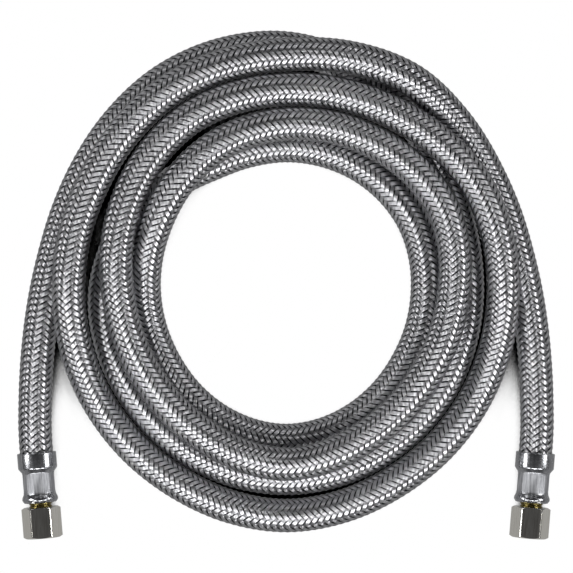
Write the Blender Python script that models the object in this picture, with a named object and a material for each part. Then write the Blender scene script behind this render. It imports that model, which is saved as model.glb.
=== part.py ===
"""Ice maker supply line: a steel-braided hose lying in a flat coil of four and a half turns.

Each end has a crimped steel ferrule, a brass insert stem and a plated swivel nut with a
cone seal, the usual quarter-inch compression fitting. Metres, +Z up. The coil lies on
z = 0, with its axis on x = 0, and the two ends point towards -Y.
"""

import math

import bmesh
import bpy
from mathutils import Matrix, Vector

MM = 0.001

# Clearances
SEAT_GAP = 0.3 * MM
RUNNING_GAP = 0.3 * MM

# Hose
HOSE_RADIUS = 6.0 * MM
BRAID_WALL = 0.7 * MM
LINER_WALL = 0.8 * MM
BRAID_SIDES = 10
LINER_SIDES = 8

# Coil, seen from above: one row for each turn, one radius for each 30 degrees,
# clockwise from the left. The last row is the half turn that ends on the right.
COIL_STEP = 30
TURN_RADII = (
    (87.6, 85.5, 89.6, 89.6, 80.9, 69.4, 66.0, 66.1, 66.5, 67.1, 66.7, 66.2),
    (66.0, 61.1, 54.5, 54.0, 54.0, 53.4, 51.4, 50.7, 52.0, 53.3, 52.0, 50.7),
    (51.4, 53.6, 58.2, 61.4, 63.3, 64.7, 60.5, 58.2, 58.9, 61.3, 58.9, 58.2),
    (60.5, 66.2, 72.2, 73.9, 76.0, 79.3, 78.5, 78.7, 79.1, 80.7, 79.1, 78.7),
    (78.5, 80.3, 84.7, 86.4, 89.6, 85.5, 87.6),
)
# The coil angle at which the hose reaches each level: on the floor, on the turns below,
# or a little higher where it crosses a rising turn
LAYER = 12.4 * MM
RISE = 2.4 * MM
LEVELS = (
    (0, 0.0),
    (695, 0.0),
    (765, LAYER),
    (1035, LAYER),
    (1095, LAYER + RISE),
    (1140, LAYER),
    (1250, LAYER),
    (1292, 0.0),
    (1400, 0.0),
    (1443, LAYER),
    (1553, LAYER),
    (1592, 0.0),
    (1620, 0.0),
)
STATION_STEP = 15
FIRST_STATION = 30

# Straight tail on the left, from the ferrule to the coil; the right one mirrors it
TAIL = (
    (-91.3, -49.4, 7.0),
    (-91.3, -39.5, 6.6),
    (-90.9, -27.6, 6.0),
    (-90.0, -16.7, 6.0),
    (-87.6, 0.0, 6.0),
    (-84.2, 14.9, 6.0),
    (-79.9, 29.1, 6.0),
)

# Fittings: the mouth of the left nut, and how far the fitting leans inward
MOUTH_X = -88.3 * MM
MOUTH_Y = -88.7 * MM
LEAN = math.radians(4.6)
# The coil's centre is this far below the middle of the whole outline
FRAME_SHIFT_Y = -3.05 * MM

# Swivel nut: its bore and its faces follow from the wrench size
NUT_LENGTH = 11.3 * MM
NUT_ACROSS_FLATS = 12.7 * MM
NUT_WALL = 0.85 * MM
NUT_BORE_RADIUS = NUT_ACROSS_FLATS / 2 - NUT_WALL
NUT_REAR_WALL = 2.0 * MM
NUT_CORNER_ROUND = 0.5 * MM
NUT_CHAMFER_ANGLE = math.radians(30)
FACE_SETBACK = 0.2 * MM
NUT_FACE_RADIUS = NUT_ACROSS_FLATS / 2 - FACE_SETBACK
MOUTH_CHAMFER = 0.15 * MM

# Insert stem: its head turns in the nut's bore
NECK_RADIUS = 4.15 * MM
NECK_GAP = 1.6 * MM
STEM_WALL = 0.55 * MM
HEAD_THICKNESS = 1.6 * MM
HEAD_CLEARANCE = 0.4 * MM
HEAD_RADIUS = NUT_BORE_RADIUS - HEAD_CLEARANCE
NOSE_LENGTH = 1.2 * MM
NOSE_RADIUS = 2.6 * MM
BARB_DEPTH = 0.2 * MM
BARB_PITCH = 2.4 * MM
BARB_COUNT = 4

# Cone seal: a cone in front of the stem's head
SEAL_LENGTH = 2.4 * MM
SEAL_SETBACK = 0.2 * MM
SEAL_RADIUS = HEAD_RADIUS - SEAL_SETBACK
SEAL_FRONT_RADIUS = 3.6 * MM
SEAL_BORE_RADIUS = 1.9 * MM

# Crimped ferrule: pressed round the hose, so its sizes follow the hose's
COLLAR_WALL = 0.8 * MM
COLLAR_RADIUS = HOSE_RADIUS + SEAT_GAP + COLLAR_WALL
COLLAR_LENGTH = 5.6 * MM
SHOULDER_LENGTH = 1.6 * MM
CRIMP_SQUEEZE = 0.15 * MM
CRIMP_RADIUS = HOSE_RADIUS - CRIMP_SQUEEZE
FLAT_DEPTH = 0.25 * MM
CRIMP_FLAT_RADIUS = CRIMP_RADIUS - FLAT_DEPTH
CRIMP_LENGTH = 7.6 * MM
CRIMP_FLATS = 8
LIP_FLARE = 0.7 * MM
LIP_RADIUS = CRIMP_RADIUS + LIP_FLARE
LIP_LENGTH = 3.4 * MM
FERRULE_WALL = 0.75 * MM
EDGE_ROUND = 0.35 * MM

ROUND_STEPS = 24


def flats_reach(radius, sides):
    """How far the flats of a many-sided tube stand from its centre."""
    return radius * math.cos(math.pi / sides)


# What the crimp squeezes: each layer seats in the one round it
FERRULE_BORE = CRIMP_FLAT_RADIUS - FERRULE_WALL
CRIMPED_BRAID = FERRULE_BORE - SEAT_GAP
LINER_RADIUS = flats_reach(HOSE_RADIUS - BRAID_WALL, BRAID_SIDES) - SEAT_GAP
CRIMPED_LINER = flats_reach(CRIMPED_BRAID - BRAID_WALL, BRAID_SIDES) - SEAT_GAP
BARB_RADIUS = flats_reach(CRIMPED_LINER - LINER_WALL, LINER_SIDES) - SEAT_GAP
BARB_ROOT_RADIUS = BARB_RADIUS - BARB_DEPTH
STEM_BORE_RADIUS = BARB_ROOT_RADIUS - STEM_WALL


def clear_scene():
    for item in list(bpy.data.objects):
        bpy.data.objects.remove(item)


def principled(name, color, metallic, roughness):
    material = bpy.data.materials.new(name)
    material.use_nodes = True
    shader = material.node_tree.nodes["Principled BSDF"]
    shader.inputs["Base Color"].default_value = (*color, 1.0)
    shader.inputs["Metallic"].default_value = metallic
    shader.inputs["Roughness"].default_value = roughness
    material.diffuse_color = (*color, 1.0)
    return material


# The route of the hose


def smooth_radius(angle):
    """The coil's radius at an angle, by a smooth curve through the table of turns."""
    radii = [radius for turn in TURN_RADII for radius in turn]
    place = angle / COIL_STEP
    index = min(int(place), len(radii) - 2)
    u = place - index
    start, end = radii[index], radii[index + 1]
    start_slope = (end - radii[max(index - 1, 0)]) / 2
    end_slope = (radii[min(index + 2, len(radii) - 1)] - start) / 2
    blend = u * u * (3 - 2 * u)
    bow = u * (1 - u) * ((1 - u) * start_slope - u * end_slope)
    return (start + (end - start) * blend + bow) * MM


def smooth_height(angle):
    """The height of the centre line at an angle: level stretches joined by soft ramps."""
    for (start, low), (end, high) in zip(LEVELS, LEVELS[1:]):
        if start <= angle <= end:
            share = (1 - math.cos(math.pi * (angle - start) / (end - start))) / 2
            return HOSE_RADIUS + low + (high - low) * share
    raise ValueError(f"no level for {angle} degrees")


def coil_station(angle):
    turned = math.pi - math.radians(angle)
    radius = smooth_radius(angle)
    return Vector((radius * math.cos(turned), radius * math.sin(turned), smooth_height(angle)))


def coil_stations():
    """The centre line round the coil, clockwise from the left to the right."""
    whole_turns = sum(len(turn) for turn in TURN_RADII) - 1
    last = whole_turns * COIL_STEP - FIRST_STATION
    return [coil_station(angle) for angle in range(FIRST_STATION, last + 1, STATION_STEP)]


def mirrored(points):
    return [Vector((-p.x, p.y, p.z)) for p in reversed(points)]


def hose_route():
    """Every station of the centre line from the left ferrule to the right one."""
    frame = fitting_frame(-1)
    crimp_start = -(NUT_LENGTH + NECK_GAP + LIP_LENGTH)
    inside = [frame @ Vector((0, 0, z)) for z in (
        crimp_start,
        crimp_start - CRIMP_LENGTH,
        crimp_start - CRIMP_LENGTH - SHOULDER_LENGTH,
        crimp_start - CRIMP_LENGTH - SHOULDER_LENGTH - COLLAR_LENGTH,
    )]
    inside = [point - Vector((0, FRAME_SHIFT_Y, 0)) for point in inside]
    tail = inside + [Vector(point) * MM for point in TAIL]
    route = tail + coil_stations() + mirrored(tail)
    return [point + Vector((0, FRAME_SHIFT_Y, 0)) for point in route]


def fitting_frame(side):
    """The place of a fitting: its local Z points out of the nut's mouth."""
    place = Matrix.Translation((-side * MOUTH_X, MOUTH_Y + FRAME_SHIFT_Y, COLLAR_RADIUS))
    outward = Vector((-side * math.sin(LEAN), -math.cos(LEAN), 0))
    up = Vector((0, 0, 1))
    across = up.cross(outward)
    turn = Matrix((across, up, outward)).transposed().to_4x4()
    return place @ turn


# The hose


def hose_tube(name, radius, crimped_radius, wall, sides, material):
    """An open tube along the whole route, squeezed to the crimped radius at both ends."""
    stations = hose_route()
    curve = bpy.data.curves.new(name, "CURVE")
    curve.dimensions = "3D"
    curve.twist_mode = "Z_UP"
    curve.bevel_depth = radius
    curve.bevel_resolution = (sides - 4) // 2
    spline = curve.splines.new("POLY")
    spline.points.add(len(stations) - 1)
    last = len(stations) - 1
    for index, (point, station) in enumerate(zip(spline.points, stations)):
        point.co = (*station, 1.0)
        point.tilt = math.pi / 2
        in_crimp = min(index, last - index) < 2
        point.radius = crimped_radius / radius if in_crimp else 1.0
    spline.use_smooth = True
    curve.materials.append(material)
    tube = bpy.data.objects.new(name, curve)
    bpy.context.scene.collection.objects.link(tube)
    shell = tube.modifiers.new("Wall", "SOLIDIFY")
    shell.thickness = wall
    shell.offset = -1.0
    return tube


# Turned pieces


def finished_object(name, bm, material, frame, smooth_angle=40):
    bmesh.ops.recalc_face_normals(bm, faces=bm.faces)
    mesh = bpy.data.meshes.new(name)
    bm.to_mesh(mesh)
    bm.free()
    mesh.materials.append(material)
    mesh.shade_smooth()
    mesh.set_sharp_from_angle(angle=math.radians(smooth_angle))
    item = bpy.data.objects.new(name, mesh)
    bpy.context.scene.collection.objects.link(item)
    item.parent = frame
    return item


def turned_rings(outline, section=None):
    """A closed outline of (radius, height) turned about Z; section reshapes each ring."""
    bm = bmesh.new()
    rings = []
    for radius, height in outline:
        ring = []
        for step in range(ROUND_STEPS):
            angle = 2 * math.pi * step / ROUND_STEPS
            reach = section(radius, height, angle) if section else radius
            ring.append(bm.verts.new((reach * math.cos(angle), reach * math.sin(angle), height)))
        rings.append(ring)
    for ring, after in zip(rings, rings[1:] + rings[:1]):
        for step in range(ROUND_STEPS):
            following = (step + 1) % ROUND_STEPS
            bm.faces.new((ring[step], ring[following], after[following], after[step]))
    return bm


def rounded_corner(radius, height, across, along, size=EDGE_ROUND, steps=3):
    """A quarter round at an outline's corner, from the radial edge to the lengthwise one."""
    points = []
    for step in range(steps + 1):
        angle = math.pi / 2 * step / steps
        points.append((
            radius - across * size * (1 - math.sin(angle)),
            height - along * size * (1 - math.cos(angle)),
        ))
    return points


def ferrule_outline():
    """The crimped sleeve's section, from the flared lip back to the collar and home inside."""
    lip_front = -(NUT_LENGTH + NECK_GAP)
    lip_back = lip_front - LIP_LENGTH
    crimp_back = lip_back - CRIMP_LENGTH
    collar_front = crimp_back - SHOULDER_LENGTH
    collar_back = collar_front - COLLAR_LENGTH
    flare = LIP_LENGTH * 0.35
    outer = rounded_corner(LIP_RADIUS, lip_front, 1, 1)
    outer += [
        (LIP_RADIUS, lip_back + flare),
        (LIP_RADIUS - 0.35 * (LIP_RADIUS - CRIMP_RADIUS), lip_back + flare * 0.4),
        (CRIMP_RADIUS, lip_back),
        (CRIMP_RADIUS, crimp_back),
        (COLLAR_RADIUS, collar_front),
    ]
    outer += list(reversed(rounded_corner(COLLAR_RADIUS, collar_back, 1, -1)))
    inner_lip = NECK_RADIUS + RUNNING_GAP
    inner_collar = HOSE_RADIUS + SEAT_GAP
    inner = [
        (inner_collar, collar_back),
        (inner_collar, collar_front),
        (FERRULE_BORE, crimp_back),
        (FERRULE_BORE, lip_back + SEAT_GAP),
        (inner_lip, lip_back + SEAT_GAP),
        (inner_lip, lip_front),
    ]
    return outer + inner


def crimp_section(radius, height, angle):
    """Eight flats pressed lengthwise into the waist of the ferrule."""
    if not math.isclose(radius, CRIMP_RADIUS):
        return radius
    part = 2 * math.pi / CRIMP_FLATS
    off_middle = (angle + part / 2) % part - part / 2
    flat = CRIMP_FLAT_RADIUS / math.cos(off_middle)
    return min(radius, flat)


def ferrule(name, material, frame):
    bm = turned_rings(ferrule_outline(), crimp_section)
    return finished_object(name, bm, material, frame)


def stem_outline():
    """The insert: a barb in the hose, a neck through ferrule and nut, and a head with a nose."""
    head_back = -(NUT_LENGTH - NUT_REAR_WALL) + RUNNING_GAP
    head_front = head_back + HEAD_THICKNESS
    neck_back = -(NUT_LENGTH + NECK_GAP + LIP_LENGTH) + 2 * SEAT_GAP
    nose = head_front + NOSE_LENGTH
    outline = [
        (STEM_BORE_RADIUS, nose),
        (NOSE_RADIUS, nose),
        (HEAD_RADIUS, head_front),
        (HEAD_RADIUS, head_back),
        (NECK_RADIUS, head_back),
        (NECK_RADIUS, neck_back),
    ]
    for barb in range(BARB_COUNT):
        start = neck_back - barb * BARB_PITCH
        outline += [(BARB_ROOT_RADIUS, start), (BARB_RADIUS, start - 0.2 * BARB_PITCH)]
    end = neck_back - BARB_COUNT * BARB_PITCH
    outline += [(BARB_ROOT_RADIUS, end), (STEM_BORE_RADIUS, end)]
    return outline


def insert_stem(name, material, frame):
    return finished_object(name, turned_rings(stem_outline()), material, frame)


def seal_outline():
    """A rubber cone washer that fits over the nose of the stem."""
    back = -(NUT_LENGTH - NUT_REAR_WALL) + RUNNING_GAP + HEAD_THICKNESS + SEAT_GAP
    front = back + SEAL_LENGTH
    nose_top = back + NOSE_LENGTH
    return [
        (SEAL_BORE_RADIUS, front),
        (SEAL_FRONT_RADIUS, front),
        (SEAL_RADIUS, back + SEAL_LENGTH * 0.35),
        (HEAD_RADIUS, back),
        (HEAD_RADIUS - EDGE_ROUND, back),
        (NOSE_RADIUS, nose_top),
        (SEAL_BORE_RADIUS, nose_top),
    ]


def cone_seal(name, material, frame):
    return finished_object(name, turned_rings(seal_outline()), material, frame)


def hex_prism():
    """The nut's six flats, with one flat facing up and its long edges softened."""
    bm = bmesh.new()
    apothem = NUT_ACROSS_FLATS / 2
    for height in (0.0, -NUT_LENGTH):
        for corner in range(6):
            angle = math.radians(60 * corner)
            reach = apothem / math.cos(math.radians(30))
            bm.verts.new((reach * math.cos(angle), reach * math.sin(angle), height))
    bm.verts.ensure_lookup_table()
    front, back = list(bm.verts[:6]), list(bm.verts[6:])
    bm.faces.new(front)
    bm.faces.new(list(reversed(back)))
    for corner in range(6):
        following = (corner + 1) % 6
        bm.faces.new((front[corner], back[corner], back[following], front[following]))
    long_edges = [edge for edge in bm.edges if abs(edge.verts[0].co.z - edge.verts[1].co.z) > 0]
    bmesh.ops.bevel(
        bm, geom=long_edges, offset=NUT_CORNER_ROUND, offset_type="WIDTH", segments=2,
        profile=0.5, affect="EDGES",
    )
    return bm


def chamfer_outline():
    """A turned blank that chamfers the corners of the hexagon at both ends."""
    reach = NUT_ACROSS_FLATS
    drop = (reach - NUT_FACE_RADIUS) * math.tan(NUT_CHAMFER_ANGLE)
    return [
        (0.0, 0.0),
        (NUT_FACE_RADIUS, 0.0),
        (reach, -drop),
        (reach, -NUT_LENGTH + drop),
        (NUT_FACE_RADIUS, -NUT_LENGTH),
        (0.0, -NUT_LENGTH),
    ]


def nut_bore_outline():
    """What is bored out of the nut: the threaded socket and the hole for the neck."""
    shelf = -(NUT_LENGTH - NUT_REAR_WALL)
    past = NUT_LENGTH
    return [
        (0.0, past),
        (NUT_BORE_RADIUS + MOUTH_CHAMFER + past, past),
        (NUT_BORE_RADIUS + MOUTH_CHAMFER, 0.0),
        (NUT_BORE_RADIUS, -MOUTH_CHAMFER),
        (NUT_BORE_RADIUS, shelf),
        (NECK_RADIUS + RUNNING_GAP, shelf),
        (NECK_RADIUS + RUNNING_GAP, -NUT_LENGTH - past),
        (0.0, -NUT_LENGTH - past),
    ]


def solid_of_turning(name, outline, frame):
    """A turned tool that only cuts: the render and the part leave it out."""
    bm = turned_rings(outline)
    bmesh.ops.remove_doubles(bm, verts=bm.verts, dist=1e-7)
    bmesh.ops.dissolve_degenerate(bm, edges=bm.edges, dist=1e-7)
    bmesh.ops.recalc_face_normals(bm, faces=bm.faces)
    mesh = bpy.data.meshes.new(name)
    bm.to_mesh(mesh)
    bm.free()
    item = bpy.data.objects.new(name, mesh)
    bpy.context.scene.collection.objects.link(item)
    item.parent = frame
    item.hide_render = True
    item.display_type = "WIRE"
    return item


def swivel_nut(name, material, frame):
    nut = finished_object(name, hex_prism(), material, frame, smooth_angle=25)
    for label, operation, outline in (
        ("chamfer", "INTERSECT", chamfer_outline()),
        ("bore", "DIFFERENCE", nut_bore_outline()),
    ):
        cutter = solid_of_turning(f"{name}_{label}_tool", outline, frame)
        cut = nut.modifiers.new(label.title(), "BOOLEAN")
        cut.operation = operation
        cut.object = cutter
    return nut


def fitting(side_name, side, materials):
    frame = bpy.data.objects.new(f"fitting_axis_{side_name}", None)
    frame.empty_display_size = NUT_LENGTH
    frame.matrix_world = fitting_frame(side)
    bpy.context.scene.collection.objects.link(frame)
    ferrule(f"ferrule_{side_name}", materials["ferrule"], frame)
    insert_stem(f"insert_stem_{side_name}", materials["brass"], frame)
    swivel_nut(f"swivel_nut_{side_name}", materials["nut"], frame)
    cone_seal(f"cone_seal_{side_name}", materials["rubber"], frame)


def main():
    clear_scene()
    materials = {
        "braid": principled("braided_steel", (0.42, 0.42, 0.41), 0.9, 0.38),
        "liner": principled("vinyl_liner", (0.75, 0.76, 0.74), 0.0, 0.45),
        "ferrule": principled("crimped_steel", (0.55, 0.55, 0.54), 1.0, 0.3),
        "brass": principled("brass", (0.66, 0.47, 0.16), 1.0, 0.3),
        "nut": principled("nickel_plate", (0.48, 0.47, 0.44), 1.0, 0.2),
        "rubber": principled("black_rubber", (0.03, 0.03, 0.03), 0.0, 0.7),
    }
    hose_tube(
        "hose_braid", HOSE_RADIUS, CRIMPED_BRAID, BRAID_WALL, BRAID_SIDES, materials["braid"]
    )
    hose_tube(
        "inner_tube", LINER_RADIUS, CRIMPED_LINER, LINER_WALL, LINER_SIDES, materials["liner"]
    )
    for side_name, side in (("left", -1), ("right", 1)):
        fitting(side_name, side, materials)


main()
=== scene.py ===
"""Looks of the ice maker supply line: a steel-braided hose coiled flat on a white floor.

The hose is woven here as it is made, from twenty-four carriers of fine wire that pass over
two and under two round a vinyl tube. Its ends are pressed steel ferrules with brass stems,
rubber seals and nickel-plated nuts.
"""

import math

import bpy
import numpy as np
from mathutils import Matrix, Vector


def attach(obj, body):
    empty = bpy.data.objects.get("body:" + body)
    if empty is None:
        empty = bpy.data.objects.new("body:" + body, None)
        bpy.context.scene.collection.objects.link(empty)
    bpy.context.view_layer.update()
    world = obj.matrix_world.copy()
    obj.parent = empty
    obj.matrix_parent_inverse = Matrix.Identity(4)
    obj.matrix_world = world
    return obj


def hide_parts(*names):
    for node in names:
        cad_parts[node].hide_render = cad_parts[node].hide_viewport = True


# Sizes are in millimetres, and MM turns them into Blender's metres
MM = 0.001

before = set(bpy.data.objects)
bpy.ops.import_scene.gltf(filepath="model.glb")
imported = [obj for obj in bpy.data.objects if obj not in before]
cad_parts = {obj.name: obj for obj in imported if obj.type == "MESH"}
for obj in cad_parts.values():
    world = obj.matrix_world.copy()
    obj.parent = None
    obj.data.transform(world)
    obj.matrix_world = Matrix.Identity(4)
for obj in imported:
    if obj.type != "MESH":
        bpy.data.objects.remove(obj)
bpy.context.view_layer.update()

# Hose: the share of its radius that a crimp leaves it, and its gap over the floor
HOSE_RADIUS = 6.0
CRIMPED_SHARE = 0.77
FLOOR_GAP = 0.02
LINER_RADIUS = 5.46
LINER_WALL = 1.6
LINER_SIDES = 20
LINER_STEP = 2.4
LINER_SMOOTH = math.radians(50)

# Braid: carriers each way, the length of one turn of a carrier, and one carrier's size
CARRIERS = 12
TURN_LENGTH = 27.6
CARRIER_WIDTH = 1.72
CROWN = 0.15
WIRES = 7
WEAVE_RADIUS = 5.9
WEAVE_RISE = 0.27
WEAVE_TURN = math.radians(-10)
STEPS_PER_CROSSING = 2
BRAID_SMOOTH = math.radians(60)
# A carrier's wander in height and to its sides, and how many steps it takes to change
UNEVEN_HEIGHT = 0.011
UNEVEN_WAY = 0.022
WANDER_SPREAD = 0.6
WANDER_STEPS = 3
# Painted shade where a carrier dives: how dark it is half way down, and by how much that swings
DIVE_SHADE_MIDDLE = 0.45
DIVE_SHADE_SWING = 0.55

# The coil's route, the same as the CAD model's: a radius for each 30 degrees of each turn,
# clockwise from the left, and the level over the floor at each angle
COIL_STEP = 30
TURN_RADII = (
    (87.6, 85.5, 89.6, 89.6, 80.9, 69.4, 66.0, 66.1, 66.5, 67.1, 66.7, 66.2),
    (66.0, 61.1, 54.5, 54.0, 54.0, 53.4, 51.4, 50.7, 52.0, 53.3, 52.0, 50.7),
    (51.4, 53.6, 58.2, 61.4, 63.3, 64.7, 60.5, 58.2, 58.9, 61.3, 58.9, 58.2),
    (60.5, 66.2, 72.2, 73.9, 76.0, 79.3, 78.5, 78.7, 79.1, 80.7, 79.1, 78.7),
    (78.5, 80.3, 84.7, 86.4, 89.6, 85.5, 87.6),
)
LAYER = 12.4
RISE = 2.4
LEVELS = (
    (0, 0.0),
    (695, 0.0),
    (765, LAYER),
    (1035, LAYER),
    (1095, LAYER + RISE),
    (1140, LAYER),
    (1250, LAYER),
    (1292, 0.0),
    (1400, 0.0),
    (1443, LAYER),
    (1553, LAYER),
    (1592, 0.0),
    (1620, 0.0),
)
STATION_STEP = 15
FIRST_STATION = 30
CURVE_STEPS = 24
# The left end's way from its fitting into the coil, which the right end mirrors
TAIL = (
    (-91.3, -49.4, 7.0),
    (-91.3, -39.5, 6.6),
    (-90.9, -27.6, 6.0),
    (-90.0, -16.7, 6.0),
    (-87.6, 0.0, 6.0),
    (-84.2, 14.9, 6.0),
    (-79.9, 29.1, 6.0),
)
SHIFT_Y = -3.05

# Fittings: the place of the right nut's mouth, how far both mouths lean to the middle, and
# the lengths along the axis from the mouth
MOUTH = (88.3, -88.7 + SHIFT_Y, 7.1)
LEAN = math.radians(4.6)
NUT_LENGTH = 11.3
NECK_GAP = 1.6
LIP_LENGTH = 3.4
CRIMP_LENGTH = 7.6
SHOULDER_LENGTH = 1.6
COLLAR_LENGTH = 5.6

# Ferrule
COLLAR_RADIUS = 7.1
CRIMP_RADIUS = 5.85
CRIMP_FLATS = 12
FLAT_INSET = 0.6
LIP_RADIUS = 6.55
WAIST_WALL = 1.0
HOSE_PLAY = 0.3

# Nut
ACROSS_FLATS = 12.7
NUT_CORNER_ROUND = 0.65
CHAMFER = math.radians(30)
CHAMFER_EASE = 0.35
FACE_SETBACK = 0.2
NUT_REAR_WALL = 2.0
BORE_RADIUS = 5.5
LEAD_IN = 0.35
THREADS = 6
THREAD_START = 0.6
THREAD_PITCH = 1.06
THREAD_DEPTH = 0.5
CREST_SHARES = (0.45, 0.55)
OVERCUT = 1

# Stem: its head lies in the nut and its barbs in the tube
HEAD_THICKNESS = 1.6
HEAD_RADIUS = 5.1
NOSE_LENGTH = 1.2
NOSE_RADIUS = 2.6
STEM_BORE = 1.6
NECK_RADIUS = 4.15
NECK_PLAY = 0.3
GROOVE_DEPTH = 0.35
BARBS = 4
BARB_PITCH = 2.4
BARB_RADIUS = 2.8
BARB_DEPTH = 0.3

# Seal
SEAL_BORE = 1.9
SEAL_LENGTH = 2.4
SEAL_TIP_RADIUS = 3.6
SEAL_HEEL = 0.85
SEAL_RECESS = 1.25
SEAL_PLAY = 0.02

# Turning: points round a piece, round a nut's tool and round a corner's arc
LATHE_STEPS = 72
NUT_LATHE_STEPS = 96
ARC_STEPS = 4
MERGE = 0.001
# A radius so small that its points merge into one on the axis
AXIS = 0.0002
FITTING_SMOOTH = math.radians(40)

# Lamps: tilt from overhead, turn from the right, size in metres and power in watts
LAMP_DISTANCE = 1.0
LAMPS = (
    (60, 0, 0.24, 2.5),
    (50, -50, 0.24, 3.3),
    (46, -90, 0.24, 4.0),
    (62, 60, 0.24, 0.8),
    (32, 90, 0.2, 0.2),
)
ROOM = "#323233"

# Most of a noise's values lie between these two, so a colour is spread over them
NOISE_LOW = 0.3
NOISE_HIGH = 0.7

# Braided wire: painted shade darkens its outer wires from this share of a carrier's half width
# outward, and patches of it are darker
WIRE_ROUGHNESS = 0.28
WIRE_GLINT = 0.6
WIRE_RELIEF = 0.06
WIRE_LIGHT = "#cbcbce"
# The dark end of the wire's colour, which the painted shade and the darker patches reach
WIRE_SHADE_AND_PATCH = "#28282a"
EDGE_SHADE_START = 0.55
PATCH_SIZE = 3.0
PATCH_SHARE = 0.25

# Card: its size in metres, its shade in the metal, how far a gap reaches, and how open a gap is
# where the painted shade in the gaps turns from black to white
CARD_SIZE = 6.0
CARD_IN_METAL = "#a2a2a2"
GAP_REACH = 30.0
GAP_CLOSED = 0.26
GAP_OPEN = 0.46

# The photo's frame: millimetres a pixel, at the level where the hose's outline lies
PHOTO_WIDTH = 573
PIXEL = 0.3636
COIL_CENTRE_PIXEL = (286.0, 294.0)
CAMERA_HEIGHT = 1310.0
OUTLINE_HEIGHT = 8.0
SENSOR_WIDTH = 36
NEAREST, FURTHEST = 0.1, 20


def srgb(hex_color):
    """An sRGB hex colour as linear values."""
    parts = [int(hex_color[i:i + 2], 16) / 255 for i in (1, 3, 5)]
    linear = [p / 12.92 if p <= 0.04045 else ((p + 0.055) / 1.055) ** 2.4 for p in parts]
    return (*linear, 1.0)


# The route of the hose, in millimetres


def smooth_radius(angle):
    """The coil's radius at an angle, by a smooth curve through the table of turns."""
    radii = [radius for turn in TURN_RADII for radius in turn]
    place = angle / COIL_STEP
    index = min(int(place), len(radii) - 2)
    u = place - index
    start, end = radii[index], radii[index + 1]
    start_slope = (end - radii[max(index - 1, 0)]) / 2
    end_slope = (radii[min(index + 2, len(radii) - 1)] - start) / 2
    blend = u * u * (3 - 2 * u)
    bow = u * (1 - u) * ((1 - u) * start_slope - u * end_slope)
    return start + (end - start) * blend + bow


def smooth_height(angle):
    """The centre line's height at an angle, by smooth steps through the table of levels."""
    for (start, low), (end, high) in zip(LEVELS, LEVELS[1:]):
        if start <= angle <= end:
            share = (1 - math.cos(math.pi * (angle - start) / (end - start))) / 2
            return HOSE_RADIUS + low + (high - low) * share
    raise ValueError(f"no level for {angle} degrees")


def coil_station(angle):
    """The centre line's place at an angle of the coil."""
    turned = math.pi - math.radians(angle)
    radius = smooth_radius(angle)
    return (radius * math.cos(turned), radius * math.sin(turned) + SHIFT_Y, smooth_height(angle))


def fitting_matrix(side):
    """The place of a fitting: local Z points out of the nut's mouth."""
    outward = Vector((-side * math.sin(LEAN), -math.cos(LEAN), 0))
    up = Vector((0, 0, 1))
    turn = Matrix((up.cross(outward), up, outward)).transposed().to_4x4()
    return Matrix.Translation((side * MOUTH[0], MOUTH[1], MOUTH[2])) @ turn


def route_stations():
    """The centre line's own points, from inside the left ferrule to inside the right one."""
    matrix = fitting_matrix(-1)
    hose_end = -(NUT_LENGTH + NECK_GAP + LIP_LENGTH)
    waist_end = hose_end - CRIMP_LENGTH
    collar_front = waist_end - SHOULDER_LENGTH
    inside = [
        tuple(matrix @ Vector((0, 0, z)))
        for z in (hose_end, waist_end, collar_front, collar_front - COLLAR_LENGTH)
    ]
    tail = inside + [(x, y + SHIFT_Y, z) for x, y, z in TAIL]
    last = (sum(len(turn) for turn in TURN_RADII) - 1) * COIL_STEP - FIRST_STATION
    coil = [coil_station(angle) for angle in range(FIRST_STATION, last + 1, STATION_STEP)]
    return np.array(tail + coil + [(-x, y, z) for x, y, z in reversed(tail)])


def smooth_line(points):
    """A smooth curve through the points, its slope at each taken from both neighbours."""
    span = np.linalg.norm(np.diff(points, axis=0), axis=1)
    step = np.diff(points, axis=0) / span[:, None]
    slope = np.vstack((step[:1], step, step[-1:]))
    before = np.r_[span[0], span][:, None]
    after = np.r_[span, span[-1]][:, None]
    slope = (slope[1:] * before + slope[:-1] * after) / (before + after)
    line = []
    for index, length in enumerate(span):
        u = np.arange(CURVE_STEPS)[:, None] / CURVE_STEPS
        line.append(
            (1 + 2 * u) * (1 - u) ** 2 * points[index]
            + u * (1 - u) ** 2 * length * slope[index]
            + u * u * (3 - 2 * u) * points[index + 1]
            - u * u * (1 - u) * length * slope[index + 1]
        )
    return np.vstack((*line, points[-1:]))


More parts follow.
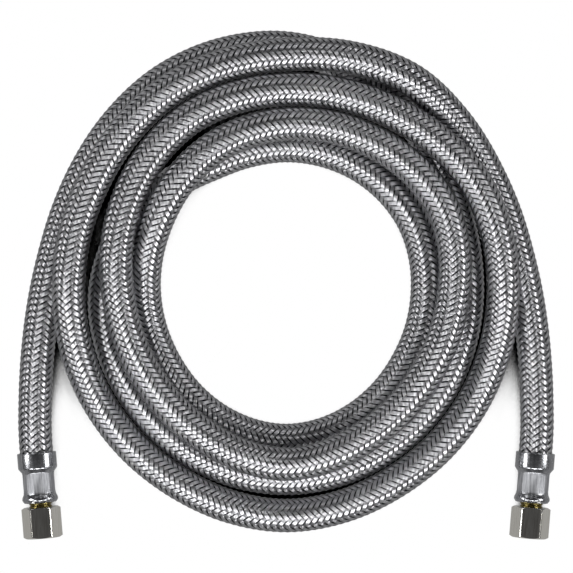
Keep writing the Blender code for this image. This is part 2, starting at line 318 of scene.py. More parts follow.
class HoseLine:
    """The centre line by its length, with an upright frame at every place along it."""

    def __init__(self):
        self.points = smooth_line(route_stations())
        self.points[:, 2] = np.maximum(self.points[:, 2], HOSE_RADIUS)
        runs = np.linalg.norm(np.diff(self.points, axis=0), axis=1)
        self.along = np.r_[0, np.cumsum(runs)]
        self.length = float(self.along[-1])
        tangent = np.gradient(self.points, self.along, axis=0)
        self.tangent = tangent / np.linalg.norm(tangent, axis=1)[:, None]

    def at(self, along):
        """The place at a length along the line, and the directions to its side and up."""
        place = [np.interp(along, self.along, self.points[:, axis]) for axis in range(3)]
        facing = [np.interp(along, self.along, self.tangent[:, axis]) for axis in range(3)]
        facing = np.stack(facing, axis=-1)
        facing /= np.linalg.norm(facing, axis=-1, keepdims=True)
        side = np.cross(facing, (0.0, 0.0, 1.0))
        side /= np.linalg.norm(side, axis=-1, keepdims=True)
        return np.stack(place, axis=-1), side, np.cross(side, facing)

    def squeeze(self, along):
        """The share of its free radius that the hose keeps: less inside each crimp."""
        from_end = np.minimum(along, self.length - along)
        share = np.clip((from_end - CRIMP_LENGTH) / SHOULDER_LENGTH, 0, 1)
        share = share * share * (3 - 2 * share)
        return CRIMPED_SHARE + (1 - CRIMPED_SHARE) * share

    def surface(self, along, turn, radius):
        """Points round the hose: turn in radians from the side, radius in millimetres."""
        along = np.clip(along, 0, self.length)
        place, side, up = self.at(along)
        reach = (radius * self.squeeze(along))[..., None]
        points = place + reach * (np.cos(turn)[..., None] * side + np.sin(turn)[..., None] * up)
        # The hose flattens a hair's breadth where it lies on the floor
        points[..., 2] = np.maximum(points[..., 2], FLOOR_GAP)
        return points


LINE = HoseLine()


# Helpers


def deselect_all():
    """Leaves edit mode, with nothing selected."""
    if bpy.context.object and bpy.context.object.mode != "OBJECT":
        bpy.ops.object.mode_set(mode="OBJECT")
    bpy.ops.object.select_all(action="DESELECT")


def mesh_piece(name, points, faces, material):
    """A piece from its points, in millimetres, and its faces."""
    mesh = bpy.data.meshes.new(name)
    mesh.from_pydata((np.asarray(points) * MM).tolist(), [], faces)
    mesh.materials.append(material)
    piece = bpy.data.objects.new(name, mesh)
    bpy.context.scene.collection.objects.link(piece)
    return piece


def add_node(tree, kind, inputs=None, **settings):
    """Adds a node; an input is a value or another node's output."""
    node = tree.nodes.new(kind)
    for name, value in settings.items():
        setattr(node, name, value)
    for name, value in (inputs or {}).items():
        if isinstance(value, bpy.types.NodeSocket):
            tree.links.new(value, node.inputs[name])
        else:
            node.inputs[name].default_value = value
    return node


# Materials


def new_material(name, color, metallic, roughness):
    """A material with plain values, which a pattern may take over."""
    material = bpy.data.materials.new(name)
    material.use_nodes = True
    shader = material.node_tree.nodes["Principled BSDF"]
    shader.inputs["Base Color"].default_value = srgb(color)
    shader.inputs["Metallic"].default_value = metallic
    shader.inputs["Roughness"].default_value = roughness
    return material, material.node_tree, shader


def vary_roughness(tree, shader, fac, low, high):
    """Spreads the roughness between two values by a pattern."""
    spread = add_node(tree, "ShaderNodeMapRange", {"Value": fac, "To Min": low, "To Max": high})
    tree.links.new(spread.outputs["Result"], shader.inputs["Roughness"])


def vary_color(tree, shader, fac, dark, light):
    """Spreads the colour between two shades by a pattern."""
    ramp = add_node(tree, "ShaderNodeValToRGB", {"Fac": fac})
    ramp.color_ramp.elements[0].color = srgb(dark)
    ramp.color_ramp.elements[1].color = srgb(light)
    ramp.color_ramp.elements[0].position = NOISE_LOW
    ramp.color_ramp.elements[1].position = NOISE_HIGH
    tree.links.new(ramp.outputs["Color"], shader.inputs["Base Color"])


def relief(tree, shader, fac, depth):
    """Bumps the surface by a depth in millimetres."""
    bump = add_node(
        tree, "ShaderNodeBump", {"Height": fac, "Strength": 1.0, "Distance": depth * MM}
    )
    tree.links.new(bump.outputs["Normal"], shader.inputs["Normal"])


def grain(tree, size, stretch=1.0, detail=3.0):
    """Noise with a grain of a size in millimetres, drawn out along the fitting by a factor."""
    place = add_node(tree, "ShaderNodeAttribute", attribute_name="place").outputs["Vector"]
    mapping = add_node(tree, "ShaderNodeMapping", {"Vector": place, "Scale": (1, 1, 1 / stretch)})
    noise = add_node(
        tree, "ShaderNodeTexNoise",
        {"Vector": mapping.outputs["Vector"], "Scale": 1 / (size * MM), "Detail": detail},
    )
    return noise.outputs["Fac"]


def pressed_steel():
    """Deep-drawn stainless steel: satin, with soft lines drawn along it by the dies."""
    material, tree, shader = new_material(
        "deep_drawn_stainless_steel", "#b6b7ba", metallic=1.0, roughness=0.24
    )
    lines = grain(tree, size=0.5, stretch=12)
    vary_color(tree, shader, lines, dark="#8c8d91", light="#c0c1c4")
    # The dies leave the waist duller than the drawn collar and lip
    place = add_node(tree, "ShaderNodeAttribute", attribute_name="place").outputs["Vector"]
    height = add_node(tree, "ShaderNodeSeparateXYZ", {"Vector": place}).outputs["Z"]
    middle = -(NUT_LENGTH + NECK_GAP + LIP_LENGTH + CRIMP_LENGTH / 2) * MM
    off = add_node(tree, "ShaderNodeMath", {0: height, 1: middle}, operation="SUBTRACT")
    off = add_node(tree, "ShaderNodeMath", {0: off.outputs[0]}, operation="ABSOLUTE")
    half = CRIMP_LENGTH / 2 * MM
    dull = add_node(
        tree, "ShaderNodeMapRange",
        {"Value": off.outputs[0], "From Min": half * 0.8, "From Max": half * 1.1,
         "To Min": 0.48, "To Max": 0.2},
    )
    blotches, blotch_share = grain(tree, size=1.2), 0.12
    rough = add_node(
        tree, "ShaderNodeMath", {0: blotches, 1: blotch_share, 2: dull.outputs["Result"]},
        operation="MULTIPLY_ADD",
    )
    tree.links.new(rough.outputs[0], shader.inputs["Roughness"])
    relief(tree, shader, lines, depth=0.03)
    return material


def nickel_plate():
    """Nickel plate over brushed bar: warm and bright, with fine lines along the hexagon."""
    material, tree, shader = new_material(
        "nickel_plate_on_brushed_bar", "#f0ede4", metallic=1.0, roughness=0.2
    )
    lines = grain(tree, size=0.22, stretch=40, detail=4)
    vary_color(tree, shader, lines, dark="#e4e0d6", light="#faf8f2")
    vary_roughness(tree, shader, lines, low=0.14, high=0.26)
    relief(tree, shader, lines, depth=0.006)
    return material


def turned_brass():
    """Brass bar turned on a lathe: a dull olive yellow, with fine rings left by the tool."""
    material, tree, shader = new_material("turned_brass", "#b5a05c", metallic=1.0, roughness=0.28)
    place = add_node(tree, "ShaderNodeAttribute", attribute_name="place").outputs["Vector"]
    # The wave repeats at 0.31 of its length, so the rings are 0.19 mm apart
    wave_length = 0.6
    rings = add_node(
        tree, "ShaderNodeTexWave",
        {"Vector": place, "Scale": 1 / (wave_length * MM), "Distortion": 0.4},
        wave_type="BANDS", bands_direction="Z",
    )
    relief(tree, shader, rings.outputs["Fac"], depth=0.01)
    vary_color(tree, shader, grain(tree, size=0.8), dark="#71653a", light="#978a55")
    return material


def moulded_rubber():
    """Black moulded rubber: dull, with a fine pebble."""
    material, tree, shader = new_material(
        "moulded_black_rubber", "#191919", metallic=0.0, roughness=0.6
    )
    pebble = grain(tree, size=0.25)
    vary_color(tree, shader, pebble, dark="#141414", light="#232323")
    relief(tree, shader, pebble, depth=0.02)
    return material


def vinyl_tube():
    """Extruded vinyl, coloured dark as painted shade under the braid: smooth, with faint extrusion
    bands.
    """
    material, tree, shader = new_material(
        "vinyl_liner_and_gap_shade", "#242425", metallic=0.0, roughness=0.45
    )
    coords = add_node(tree, "ShaderNodeTexCoord")
    band_size = 2.5
    bands = add_node(
        tree, "ShaderNodeTexNoise",
        {"Vector": coords.outputs["Object"], "Scale": 1 / (band_size * MM)},
    )
    # The vinyl's dark colours paint the shade that lies under the braid
    vary_color(tree, shader, bands.outputs["Fac"], dark="#1d1d1e", light="#2b2b2c")
    return material


def braided_wire():
    """Bright-drawn stainless wire: seven round wires to a carrier, each with its own glint."""
    material, tree, shader = new_material(
        "braided_stainless_wire", "#c8c8ca", metallic=1.0, roughness=WIRE_ROUGHNESS
    )
    shader.inputs["Anisotropic"].default_value = WIRE_GLINT
    tangent = add_node(tree, "ShaderNodeTangent", direction_type="UV_MAP", uv_map="weave")
    tree.links.new(tangent.outputs["Tangent"], shader.inputs["Tangent"])
    weave = add_node(tree, "ShaderNodeUVMap", uv_map="weave")
    split = add_node(tree, "ShaderNodeSeparateXYZ", {"Vector": weave.outputs["UV"]})
    wires = add_node(
        tree, "ShaderNodeMath", {0: split.outputs["X"], 1: float(WIRES)}, operation="MULTIPLY"
    )
    share = add_node(tree, "ShaderNodeMath", {0: wires.outputs[0]}, operation="FRACT")
    # Each wire is round: its height over the carrier's face is half a circle
    middle = add_node(
        tree, "ShaderNodeMath", {0: share.outputs[0], 1: 2.0, 2: -1.0}, operation="MULTIPLY_ADD"
    )
    square = add_node(tree, "ShaderNodeMath", {0: middle.outputs[0], 1: 2.0}, operation="POWER")
    rest = add_node(tree, "ShaderNodeMath", {0: 1.0, 1: square.outputs[0]}, operation="SUBTRACT")
    height = add_node(tree, "ShaderNodeMath", {0: rest.outputs[0]}, operation="SQRT")
    relief(tree, shader, height.outputs[0], depth=WIRE_RELIEF)
    # Painted shade: a carrier's outer wires and its dives are darkened, where shade falls between
    # and under the carriers
    edge = add_node(
        tree, "ShaderNodeMath", {0: split.outputs["X"], 1: 2.0, 2: -1.0}, operation="MULTIPLY_ADD"
    )
    edge = add_node(tree, "ShaderNodeMath", {0: edge.outputs[0]}, operation="ABSOLUTE")
    depth = add_node(tree, "ShaderNodeAttribute", attribute_name="depth")
    shade = add_node(
        tree, "ShaderNodeMapRange",
        {"Value": edge.outputs[0], "From Min": EDGE_SHADE_START, "From Max": 1.0},
        interpolation_type="SMOOTHSTEP",
    )
    dark = add_node(
        tree, "ShaderNodeMath", {0: shade.outputs[0], 1: depth.outputs["Fac"]}, operation="MAXIMUM"
    )
    coords = add_node(tree, "ShaderNodeTexCoord")
    patch = add_node(
        tree, "ShaderNodeTexNoise",
        {"Vector": coords.outputs["Object"], "Scale": 1 / (PATCH_SIZE * MM)},
    )
    mixed = add_node(
        tree, "ShaderNodeMath", {0: patch.outputs["Fac"], 1: PATCH_SHARE, 2: dark.outputs[0]},
        operation="MULTIPLY_ADD",
    )
    ramp = add_node(tree, "ShaderNodeValToRGB", {"Fac": mixed.outputs[0]})
    ramp.color_ramp.elements[0].color = srgb(WIRE_LIGHT)
    ramp.color_ramp.elements[0].position = 0.1
    ramp.color_ramp.elements[1].color = srgb(WIRE_SHADE_AND_PATCH)
    ramp.color_ramp.elements[1].position = 1.0
    tree.links.new(ramp.outputs["Color"], shader.inputs["Base Color"])
    return material


def white_card():
    """Seamless white card: clean white to the eye, with painted shade in the gaps, soft grey in
    the metal.
    """
    material, tree, shader = new_material(
        "seamless_white_card", "#ffffff", metallic=0.0, roughness=1.0
    )
    shader.inputs["Specular IOR Level"].default_value = 0.0
    output = tree.nodes["Material Output"]
    ray = add_node(tree, "ShaderNodeLightPath")
    # Painted shade: to the eye, the card's white fades to black where ambient occlusion finds a
    # narrow gap
    reach = add_node(tree, "ShaderNodeAmbientOcclusion", {"Distance": GAP_REACH * MM}, samples=16)
    open_share = add_node(
        tree, "ShaderNodeMapRange",
        {"Value": reach.outputs["AO"], "From Min": GAP_CLOSED, "From Max": GAP_OPEN},
        interpolation_type="SMOOTHSTEP",
    )
    seen = add_node(tree, "ShaderNodeEmission", {"Strength": open_share.outputs["Result"]})
    seen.inputs["Color"].default_value = srgb("#ffffff")
    glow = add_node(tree, "ShaderNodeEmission", {"Color": srgb(CARD_IN_METAL), "Strength": 1.0})
    in_metal = add_node(tree, "ShaderNodeMixShader", {0: ray.outputs["Is Glossy Ray"]})
    tree.links.new(shader.outputs["BSDF"], in_metal.inputs[1])
    tree.links.new(glow.outputs["Emission"], in_metal.inputs[2])
    by_eye = add_node(tree, "ShaderNodeMixShader", {0: ray.outputs["Is Camera Ray"]})
    tree.links.new(in_metal.outputs["Shader"], by_eye.inputs[1])
    tree.links.new(seen.outputs["Emission"], by_eye.inputs[2])
    tree.links.new(by_eye.outputs["Shader"], output.inputs["Surface"])
    return material


# The hose


def liner_tube(material):
    """A tube with an outer and an inner wall along the whole centre line, open at both ends."""
    sides = LINER_SIDES
    count = int(LINE.length / LINER_STEP) + 1
    line = np.linspace(0, LINE.length, count)
    along, turn = np.meshgrid(line, 2 * np.pi * np.arange(sides) / sides, indexing="ij")
    rings = [
        LINE.surface(along, turn, np.full((count, sides), radius))
        for radius in (LINER_RADIUS, LINER_RADIUS - LINER_WALL)
    ]
    points = np.concatenate([ring.reshape(-1, 3) for ring in rings])
    row, column = np.meshgrid(np.arange(count - 1), np.arange(sides), indexing="ij")
    after = (column + 1) % sides
    a, b = row * sides + column, row * sides + after
    shift = count * sides
    outer = np.stack((a, a + sides, b + sides, b), axis=-1).reshape(-1, 4)
    inner = outer[:, ::-1] + shift
    first, last = np.arange(sides), (count - 1) * sides + np.arange(sides)
    next_first, next_last = np.roll(first, -1), np.roll(last, -1)
    caps = np.concatenate((
        np.stack((first, next_first, next_first + shift, first + shift), axis=-1),
        np.stack((last, last + shift, next_last + shift, next_last), axis=-1),
    ))
    faces = np.concatenate((outer, inner, caps)).tolist()
    piece = mesh_piece("liner_tube", points, faces, material)
    piece.data.shade_smooth()
    piece.data.set_sharp_from_angle(angle=LINER_SMOOTH)
    return piece, LINE.at(line)[0] * MM


def weave_height(phase):
    """How high a carrier rides in its cycle of four crossings: over two, under two."""
    return np.cos(2 * np.pi * (phase - 0.5) / 4)


def slow_wander(uneven, count):
    """A smooth wander, mostly between -1 and 1, that changes every few steps."""
    knots = uneven.normal(0, WANDER_SPREAD, count // WANDER_STEPS + 2)
    return np.interp(np.arange(count) / WANDER_STEPS, np.arange(len(knots)), knots)


def woven_carriers(name, hand, first, count, material):
    """Some of the carriers of one hand, each a closed ribbon that weaves over and under."""
    step = TURN_LENGTH / (2 * CARRIERS) / STEPS_PER_CROSSING
    steps = int(LINE.length / step)
    index = np.arange(steps + 1)
    along = index * step
    slant = math.atan2(2 * math.pi * WEAVE_RADIUS, TURN_LENGTH)
    points, faces, ends, dive_shades = [], [], [], []
    uneven = np.random.default_rng(first + (hand > 0))
    for carrier in range(first, first + count):
        crossing = index / STEPS_PER_CROSSING
        phase = 2 * carrier + hand * crossing
        height = hand * weave_height(phase)
        radius = WEAVE_RADIUS + WEAVE_RISE * height
        radius += UNEVEN_HEIGHT * slow_wander(uneven, steps + 1)
        turn = 2 * np.pi * (carrier / CARRIERS + hand * along / TURN_LENGTH) + WEAVE_TURN
        turn += UNEVEN_WAY / WEAVE_RADIUS * slow_wander(uneven, steps + 1)
        half = CARRIER_WIDTH / 2
        for share, drop in ((-1, CROWN), (0, 0.0), (1, CROWN)):
            shift = -share * half * math.sin(slant)
            swing = hand * share * half * math.cos(slant) / WEAVE_RADIUS
            points.append(LINE.surface(along + shift, turn + swing, radius - drop))
        base = (carrier - first) * 3 * (steps + 1)
        left = base + index[:-1]
        crown, right = left + steps + 1, left + 2 * (steps + 1)
        for a, b in ((left, crown), (crown, right), (right, left)):
            order = (a, a + 1, b + 1, b) if hand > 0 else (a, b, b + 1, a + 1)
            faces.append(np.stack(order, axis=-1))
        # A three-cornered cap closes each end, and faces away from the ribbon
        front, back = [[int(edge[i]) for edge in (left, crown, right)] for i in (0, -1)]
        back = [point + 1 for point in back]
        ends += [front, back[::-1]] if hand > 0 else [front[::-1], back]
        # Painted shade: a carrier is darker where it dives under the other hand
        dive_shades.append(np.tile(np.clip(DIVE_SHADE_MIDDLE - DIVE_SHADE_SWING * height, 0, 1), 3))
    faces = np.concatenate(faces).tolist() + ends
    piece = mesh_piece(name, np.concatenate(points), faces, material)
    mesh = piece.data
    # The painted shade is stored on the points as the depth attribute
    depth = mesh.attributes.new("depth", "FLOAT", "POINT")
    depth.data.foreach_set("value", np.concatenate(dive_shades).astype(np.float32))
    # The weave's own map runs across a carrier from 0 to 1, and along it at the same scale
    uv = mesh.uv_layers.new(name="weave")
    vertex = np.empty(len(mesh.loops), np.int32)
    mesh.loops.foreach_get("vertex_index", vertex)
    place = vertex % (3 * (steps + 1))
    across = (place // (steps + 1)) / 2
    length = (place % (steps + 1)) * step / math.cos(slant) / CARRIER_WIDTH
    uv.data.foreach_set("uv", np.stack((across, length), axis=-1).astype(np.float32).ravel())
    mesh.shade_smooth()
    mesh.set_sharp_from_angle(angle=BRAID_SMOOTH)
    return piece


def build_hose():
    """The liner and the braid over it, in four pieces of six carriers, and the liner's path."""
    tube, path = liner_tube(vinyl_tube())
    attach(tube, "hose")
    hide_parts("inner_tube")
    wire = braided_wire()
    braid = []
    for hand, label in ((1, "right_hand"), (-1, "left_hand")):
        for half, first in (("a", 0), ("b", CARRIERS // 2)):
            piece = woven_carriers(f"braid_{label}_{half}", hand, first, CARRIERS // 2, wire)
            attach(piece, "hose")
            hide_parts("hose_braid")
            braid.append(piece)
    return tube, path, braid


# Fittings


def select_where(piece, test):
    """In edit mode: selects the points whose place, in millimetres, passes the test."""
    bpy.ops.mesh.select_all(action="DESELECT")
    bpy.ops.object.mode_set(mode="OBJECT")
    for point in piece.data.vertices:
        point.select = test(point.co / MM)
    bpy.ops.object.mode_set(mode="EDIT")


def with_rounds(outline):
    """A closed outline of (radius, height, round) with an arc in place of each corner."""
    points = []
    for index, (radius, height, fillet) in enumerate(outline):
        corner = Vector((radius, height))
        if not fillet:
            points.append(tuple(corner))
            continue
        before = (Vector(outline[index - 1][:2]) - corner).normalized()
        after = (Vector(outline[(index + 1) % len(outline)][:2]) - corner).normalized()
        half = before.angle(after) / 2
        centre = corner + (before + after).normalized() * fillet / math.sin(half)
        start = corner + before * fillet / math.tan(half) - centre
        end = corner + after * fillet / math.tan(half) - centre
        for step in range(ARC_STEPS + 1):
            spoke = start.lerp(end, step / ARC_STEPS).normalized()
            points.append(tuple(centre + spoke * fillet))
    return points


def turned(name, outline, steps=LATHE_STEPS):
    """A circle drawn out and back along a closed outline, as on a lathe."""
    deselect_all()
    bpy.ops.mesh.primitive_circle_add(
        vertices=steps, radius=outline[0][0] * MM, location=(0, 0, 0), fill_type="NOTHING"
    )
    piece = bpy.context.object
    piece.name = piece.data.name = name
    bpy.ops.object.mode_set(mode="EDIT")
    bpy.ops.mesh.select_all(action="SELECT")
    bpy.ops.transform.translate(value=(0, 0, outline[0][1] * MM))
    for (before, low), (after, high) in zip(outline, outline[1:] + outline[:1]):
        bpy.ops.mesh.extrude_region_move(
            TRANSFORM_OT_translate={"value": (0, 0, (high - low) * MM)}
        )
        share = after / before
        bpy.ops.transform.resize(value=(share, share, 1), center_override=(0, 0, 0))
    bpy.ops.mesh.select_all(action="SELECT")
    bpy.ops.mesh.remove_doubles(threshold=MERGE * MM)
    bpy.ops.mesh.normals_make_consistent(inside=False)
    bpy.ops.object.mode_set(mode="OBJECT")
    return piece


def cut_by(piece, tool, operation):
    """Cuts a piece by a tool, and throws the tool away."""
    deselect_all()
    bpy.context.view_layer.objects.active = piece
    piece.select_set(True)
    cut = piece.modifiers.new(operation, "BOOLEAN")
    cut.operation = operation
    cut.object = tool
    cut.solver = "EXACT"
    bpy.ops.object.modifier_apply(modifier=cut.name)
    bpy.data.objects.remove(tool)


def fitted(piece, node, body, material, side):
    """Puts a finished piece on its side of the coil, in place of its CAD node."""
    mesh = piece.data
    mesh.materials.clear()
    mesh.materials.append(material)
    # The pattern of a fitting keeps to its place before it is leant and moved
    place = mesh.attributes.new("place", "FLOAT_VECTOR", "POINT")
    points = np.empty(len(mesh.vertices) * 3, np.float32)
    mesh.vertices.foreach_get("co", points)
    place.data.foreach_set("vector", points)
    matrix = fitting_matrix(side)
    matrix.translation *= MM
    mesh.transform(matrix)
    deselect_all()
    piece.select_set(True)
    bpy.context.view_layer.objects.active = piece
    bpy.ops.object.shade_smooth_by_angle(angle=FITTING_SMOOTH)
    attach(piece, body)
    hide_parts(node)


def pressed_ferrule():
    """A deep-drawn sleeve: plain collar, waist pressed by twelve dies, lip rolled outward."""
    lip_front = -(NUT_LENGTH + NECK_GAP)
    waist_front = lip_front - LIP_LENGTH
    waist_back = waist_front - CRIMP_LENGTH
    collar_front = waist_back - SHOULDER_LENGTH
    collar_back = collar_front - COLLAR_LENGTH
    shelf = waist_front + 0.3
    # Each point has a radius, a height and a corner's round: lip, waist, collar, then inside
    outline = with_rounds((
        (NECK_RADIUS + NECK_PLAY, lip_front, 0.25),
        (LIP_RADIUS - 0.75, lip_front, 0.4),
        (LIP_RADIUS, lip_front - 1.05, 0.75),
        (LIP_RADIUS - 0.1, lip_front - 1.9, 0.8),
        (CRIMP_RADIUS, waist_front + 0.2, 1.6),
        (CRIMP_RADIUS, waist_front - 0.9, 0),
        (CRIMP_RADIUS, waist_back + 0.9, 0),
        (CRIMP_RADIUS, waist_back, 0.55),
        (COLLAR_RADIUS, collar_front, 0.9),
        (COLLAR_RADIUS, collar_back, 0.3),
        (HOSE_RADIUS + HOSE_PLAY, collar_back, 0.2),
        (HOSE_RADIUS + HOSE_PLAY, collar_front, 0),
        (CRIMP_RADIUS - WAIST_WALL, waist_back, 0),
        (CRIMP_RADIUS - WAIST_WALL, shelf, 0),
        (NECK_RADIUS + NECK_PLAY, shelf, 0),
    ))
    piece = turned("ferrule", outline)
    press_flats(piece, waist_front - FLAT_INSET, waist_back + FLAT_INSET)
    return piece


def press_flats(piece, front, back):
    """Flats in the waist: each flat's points are pushed in, from its middle to its corners."""
    bpy.ops.object.mode_set(mode="EDIT")
    part = 2 * math.pi / CRIMP_FLATS
    flat_radius = CRIMP_RADIUS * math.cos(part / 2)
    for step in range(LATHE_STEPS // CRIMP_FLATS // 2):
        off_middle = step * math.radians(360 / LATHE_STEPS)

        def on_step(place):
            """Whether a point lies on the waist's outside, this far off a flat's middle."""
            angle = math.atan2(place.y, place.x)
            off = abs((angle + part / 2) % part - part / 2)
            outside = math.hypot(place.x, place.y) > CRIMP_RADIUS - WAIST_WALL / 2
            in_waist = outside and back < place.z < front
            return in_waist and math.isclose(off, off_middle, abs_tol=0.01)

        select_where(piece, on_step)
        share = flat_radius / math.cos(off_middle) / CRIMP_RADIUS
        bpy.ops.transform.resize(value=(share, share, 1), center_override=(0, 0, 0))
    bpy.ops.object.mode_set(mode="OBJECT")


def hex_nut():
    """Hexagon bar with softened corners, turned to a chamfer at both ends and threaded inside."""
    deselect_all()
    corner_radius = ACROSS_FLATS / 2 / math.cos(math.pi / 6)
    bpy.ops.mesh.primitive_cylinder_add(
        vertices=6, radius=corner_radius * MM, depth=NUT_LENGTH * MM,
        location=(0, 0, -NUT_LENGTH / 2 * MM), rotation=(0, 0, math.pi / 6),
    )
    piece = bpy.context.object
    piece.name = piece.data.name = "swivel_nut"
    bpy.ops.object.transform_apply(location=True, rotation=True, scale=True)
    bpy.ops.object.mode_set(mode="EDIT")
    bpy.ops.mesh.select_mode(type="EDGE")
    bpy.ops.mesh.select_all(action="DESELECT")
    bpy.ops.object.mode_set(mode="OBJECT")
    for edge in piece.data.edges:
        low, high = (piece.data.vertices[i].co for i in edge.vertices)
        edge.select = abs(low.z - high.z) > NUT_LENGTH * MM / 2
    bpy.ops.object.mode_set(mode="EDIT")
    bpy.ops.mesh.bevel(offset=NUT_CORNER_ROUND * MM, segments=ARC_STEPS, affect="EDGES")
    bpy.ops.mesh.select_mode(type="VERT")
    bpy.ops.object.mode_set(mode="OBJECT")
    cut_by(piece, chamfer_tool(), "INTERSECT")
    cut_by(piece, thread_tool(), "DIFFERENCE")
    return piece


def chamfer_tool():
    """What a chamfer leaves of a nut, with the edge of each chamfer eased."""
    past_corners = ACROSS_FLATS * 0.75
    face = ACROSS_FLATS / 2 - FACE_SETBACK
    drop = (past_corners - face) * math.tan(CHAMFER)
    return turned("chamfer_tool", with_rounds((
        (AXIS, 0, 0),
        (face, 0, CHAMFER_EASE),
        (past_corners, -drop, 0),
        (past_corners, drop - NUT_LENGTH, 0),
        (face, -NUT_LENGTH, CHAMFER_EASE),
        (AXIS, -NUT_LENGTH, 0),
    )), NUT_LATHE_STEPS)


def thread_tool():
    """The room inside a nut: a lead-in, a row of threads, a plain bore and the neck's hole."""
    mouth = BORE_RADIUS + LEAD_IN
    outline = [(AXIS, OVERCUT), (mouth, OVERCUT), (mouth, 0), (BORE_RADIUS, -LEAD_IN)]
    for turn in range(THREADS):
        height = -THREAD_START - turn * THREAD_PITCH
        outline.append((BORE_RADIUS, height))
        for share in CREST_SHARES:
            outline.append((BORE_RADIUS - THREAD_DEPTH, height - share * THREAD_PITCH))
    end = -THREAD_START - THREADS * THREAD_PITCH
    shelf = NUT_REAR_WALL - NUT_LENGTH
    hole = NECK_RADIUS + NECK_PLAY
    ease = 0.3
    outline += [(BORE_RADIUS, end), (BORE_RADIUS, shelf), (hole, shelf)]
    outline += [(hole, ease - NUT_LENGTH), (hole + ease, -NUT_LENGTH)]
    outline += [(hole + ease, -NUT_LENGTH - OVERCUT), (AXIS, -NUT_LENGTH - OVERCUT)]
    return turned("thread_tool", outline, NUT_LATHE_STEPS)


def insert_stem():
    """Turned brass: a head and nose in the nut, a grooved neck, and barbs inside the tube."""
    head_front = NUT_REAR_WALL - NUT_LENGTH + HEAD_THICKNESS
    head_back = NUT_REAR_WALL - NUT_LENGTH
    nose = head_front + NOSE_LENGTH
    waist_front = -(NUT_LENGTH + NECK_GAP) - LIP_LENGTH
    barbs_end = waist_front - BARBS * BARB_PITCH
    # Each point has a radius, a height and a corner's round: nose, head, neck with its groove
    # behind the nut, then the barbs, each with a short rise and a long slope
    outline = with_rounds((
        (STEM_BORE, nose, 0.1),
        (NOSE_RADIUS, nose, 0.25),
        (NOSE_RADIUS, head_front, 0),
        (HEAD_RADIUS, head_front, 0.2),
        (HEAD_RADIUS, head_back, 0),
        (NECK_RADIUS, head_back, 0),
        (NECK_RADIUS, -NUT_LENGTH - 0.25, 0.15),
        (NECK_RADIUS - GROOVE_DEPTH, -NUT_LENGTH - 0.55, 0.1),
        (NECK_RADIUS - GROOVE_DEPTH, -NUT_LENGTH - 0.85, 0.1),
        (NECK_RADIUS, -NUT_LENGTH - 1.1, 0.15),
        (NECK_RADIUS, waist_front + 1.5, 0),
        (BARB_RADIUS, waist_front + 0.6, 0),
        *(
            (BARB_RADIUS - drop, waist_front - number * BARB_PITCH - back, 0)
            for number in range(BARBS)
            for drop, back in (
                (BARB_DEPTH, 0.0), (0.0, BARB_PITCH * 0.15), (BARB_DEPTH, BARB_PITCH * 0.9)
            )
        ),
        (BARB_RADIUS - BARB_DEPTH, barbs_end, 0.1),
        (STEM_BORE, barbs_end, 0.1),
    ))
    return turned("insert_stem", outline)


def cone_seal():
    """A moulded rubber cone washer in front of the stem's head, hollowed for its nose."""
    head = NUT_REAR_WALL - NUT_LENGTH + HEAD_THICKNESS
    tip, back = head + SEAL_LENGTH, head + SEAL_PLAY
    heel_radius = HEAD_RADIUS - 0.2
    recess_radius = NOSE_RADIUS + SEAL_PLAY
    outline = with_rounds((
        (SEAL_BORE, tip, 0.15),
        (SEAL_TIP_RADIUS, tip, 0.35),
        (heel_radius, head + SEAL_HEEL, 0.3),
        (heel_radius, back, 0.15),
        (recess_radius, back, 0),
        (recess_radius, head + SEAL_RECESS, 0),
        (SEAL_BORE, head + SEAL_RECESS, 0),
    ))
    return turned("cone_seal", outline)


def build_fittings():
    """The same four pieces at both ends of the hose: CAD node, name, shape, finish, slot, body."""
    kinds = (
        ("ferrule", "pressed_ferrule", pressed_ferrule, pressed_steel(), "ferrule", "hose"),
        ("insert_stem", "barbed_stem", insert_stem, turned_brass(), "brass", "hose"),
        ("swivel_nut", "hex_nut", hex_nut, nickel_plate(), "nut", "nut"),
        ("cone_seal", "cone_washer", cone_seal, moulded_rubber(), "rubber", "hose"),
    )
    right_fitting = []
    for node, name, make, material, slot, body in kinds:
        first = make()
        for side, label in ((-1, "left"), (1, "right")):
            piece = first.copy()
            piece.data = first.data.copy()
            piece.name = piece.data.name = f"{name}_{label}"
            bpy.context.scene.collection.objects.link(piece)
            on_body = f"nut_{label}" if body == "nut" else body
            fitted(piece, f"{node}_{label}", on_body, material, side)
        right_fitting.append(piece)
        bpy.data.objects.remove(first)
    return right_fitting


# The studio


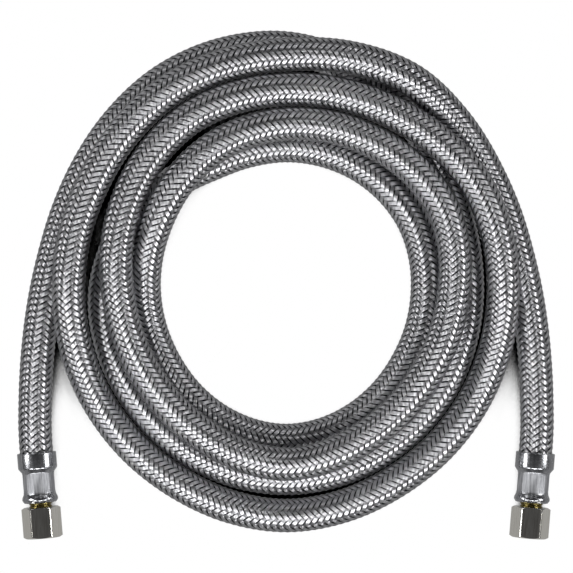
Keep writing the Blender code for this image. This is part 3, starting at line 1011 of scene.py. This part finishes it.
def build_camera():
    """A long lens straight above the coil, which frames it as the photo does."""
    camera_data = bpy.data.cameras.new("photo_camera")
    camera = bpy.data.objects.new("photo_camera", camera_data)
    bpy.context.scene.collection.objects.link(camera)
    width = PHOTO_WIDTH * PIXEL
    distance = CAMERA_HEIGHT - OUTLINE_HEIGHT
    camera_data.sensor_width = SENSOR_WIDTH
    camera_data.lens = SENSOR_WIDTH * distance / width
    camera_data.clip_start = NEAREST
    camera_data.clip_end = FURTHEST
    middle = PHOTO_WIDTH / 2
    x = (middle - COIL_CENTRE_PIXEL[0]) * PIXEL
    y = SHIFT_Y + (COIL_CENTRE_PIXEL[1] - middle) * PIXEL
    camera.location = (x * MM, y * MM, CAMERA_HEIGHT * MM)
    bpy.context.scene.camera = camera


def build_lamps():
    """Softboxes a metre away, in pairs but for those that stand at the top and bottom."""
    for number, (tilt, turn, size, power) in enumerate(LAMPS):
        for side in (1,) if abs(turn) == 90 else (1, -1):
            lamp = bpy.data.lights.new(f"softbox_{number}", "AREA")
            lamp.size = size
            lamp.energy = power
            item = bpy.data.objects.new(lamp.name, lamp)
            bpy.context.scene.collection.objects.link(item)
            lean, heading = math.radians(tilt), math.radians(turn)
            place = Vector((
                side * math.sin(lean) * math.cos(heading),
                math.sin(lean) * math.sin(heading),
                math.cos(lean),
            ))
            item.location = place * LAMP_DISTANCE
            item.rotation_euler = place.to_track_quat("Z", "Y").to_euler()


def build_world():
    """White to the eye, and a dim grey room in the metal."""
    world = bpy.data.worlds.new("studio")
    bpy.context.scene.world = world
    world.use_nodes = True
    tree = world.node_tree
    ray = add_node(tree, "ShaderNodeLightPath")
    shade = add_node(
        tree, "ShaderNodeMix",
        {0: ray.outputs["Is Camera Ray"], "A": srgb(ROOM), "B": srgb("#ffffff")},
        data_type="RGBA",
    )
    tree.links.new(shade.outputs["Result"], tree.nodes["Background"].inputs["Color"])


def build_studio():
    """The card that the hose lies on, the lamps and the room."""
    deselect_all()
    bpy.ops.mesh.primitive_plane_add(size=CARD_SIZE, location=(0, 0, 0))
    floor = bpy.context.object
    floor.name = "floor"
    floor.data.materials.append(white_card())
    build_lamps()
    build_world()
    bpy.context.scene.view_settings.view_transform = "Standard"


build_camera()
tube, path, braid = build_hose()
right_fitting = build_fittings()
build_studio()
